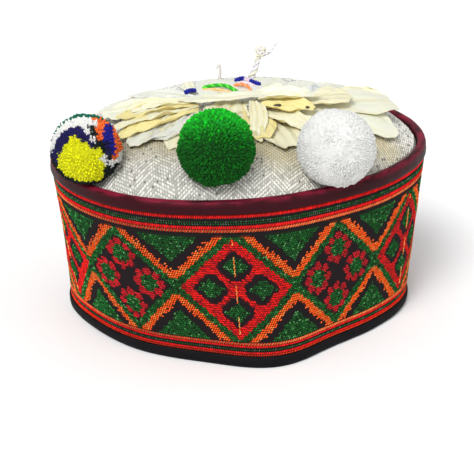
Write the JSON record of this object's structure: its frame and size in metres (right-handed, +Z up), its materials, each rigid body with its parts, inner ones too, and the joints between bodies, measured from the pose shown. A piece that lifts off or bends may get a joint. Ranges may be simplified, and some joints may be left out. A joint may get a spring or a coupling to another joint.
{
  "type": "kullu cap",
  "caption": "Round kullu cap: tweed crown inside a flaring woven band with a maroon top tape and a black foot tape, three yarn pompoms and dry petal sprays on top.",
  "frame": {"origin": "floor plane under the middle of the cap's plan; the cap stands on the flat underside of its foot tape at z = 0", "axes": "+Z up, front of the cap (the three pompoms) towards -Y, +X to the wearer's left, which is the right of the picture"},
  "size_m": [0.2072, 0.216, 0.1419],
  "materials": {
    "tweed": "wool herringbone tweed, white and grey with dark flecks",
    "woven": "woven wool pattern in green, red, orange and black, raised stitches",
    "maroon_tape": "smooth maroon leatherette, slightly glossy",
    "black_tape": "black cotton tape, dull",
    "pompom_left": "cut yarn, yellow with white, navy, orange, blue and dark patches",
    "pompom_middle": "cut yarn, green",
    "pompom_right": "cut yarn, white",
    "petal": "dry papery petal, cream with yellow folds, slightly translucent",
    "green_yarn": "twisted yarn",
    "orange_yarn": "twisted yarn",
    "blue_yarn": "twisted yarn",
    "thread": "twisted white thread"
  },
  "bodies": {
    "root": {"crown": "tweed", "band": "woven", "top_binding": "maroon_tape", "foot_binding": "black_tape", "pompom_left": "pompom_left", "pompom_middle": "pompom_middle", "pompom_right": "pompom_right", "petals_left": "petal", "petals_middle": "petal", "petals_right": "petal", "green_yarn": "green_yarn", "orange_yarn": "orange_yarn", "blue_yarn": "blue_yarn", "blue_yarn_end": "blue_yarn", "knotted_thread": "thread", "dry_stalk": "petal"}
  },
  "joints": []
}
